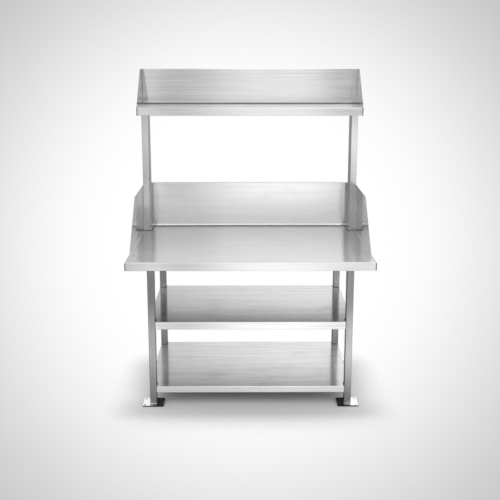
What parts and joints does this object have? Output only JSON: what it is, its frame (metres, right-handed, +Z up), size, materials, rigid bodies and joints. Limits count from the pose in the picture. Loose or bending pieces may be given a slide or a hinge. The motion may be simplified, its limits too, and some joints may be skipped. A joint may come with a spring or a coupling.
{
  "type": "packing table",
  "caption": "Stainless steel packing table: a worktop with back and side splashes on a welded leg frame with notched shelves, and an upper shelf on posts.",
  "frame": {"origin": "on the floor, under the middle of the table's overall width and depth", "axes": "+X along the worktop towards the packer's right, +Y towards the backsplash, +Z up"},
  "size_m": [1.4, 0.8152, 1.909],
  "materials": {
    "brushed_deck": "stainless sheet, grain brushed along the table",
    "brushed_panel": "stainless sheet, grain brushed along the panel",
    "ground_tube": "stainless tube, ground along its length",
    "foot_plate": "stainless plate, laser cut and polished",
    "mill_inner": "stainless, as rolled, on the hidden side"
  },
  "bodies": {
    "root": {"worktop": "brushed_deck", "backsplash": "brushed_panel", "side_splash_left": "brushed_panel", "side_splash_right": "brushed_panel", "worktop_channel_1": "mill_inner", "worktop_channel_2": "mill_inner", "rail_front": "mill_inner", "rail_back": "mill_inner", "rail_left": "mill_inner", "rail_right": "mill_inner", "post_bearer_left": "mill_inner", "post_bearer_right": "mill_inner", "leg_front_left": "ground_tube", "leg_front_right": "ground_tube", "leg_back_left": "ground_tube", "leg_back_right": "ground_tube", "foot_plate_front_left": "foot_plate", "foot_plate_front_right": "foot_plate", "foot_plate_back_left": "foot_plate", "foot_plate_back_right": "foot_plate", "shelf_lower": "brushed_deck", "shelf_lower_channel": "mill_inner", "shelf_middle": "brushed_deck", "shelf_middle_channel": "mill_inner", "post_left": "ground_tube", "post_right": "ground_tube", "upper_shelf": "brushed_deck", "upper_shelf_channel": "mill_inner", "upper_back": "brushed_panel", "upper_side_left": "brushed_panel", "upper_side_right": "brushed_panel"}
  },
  "joints": []
}
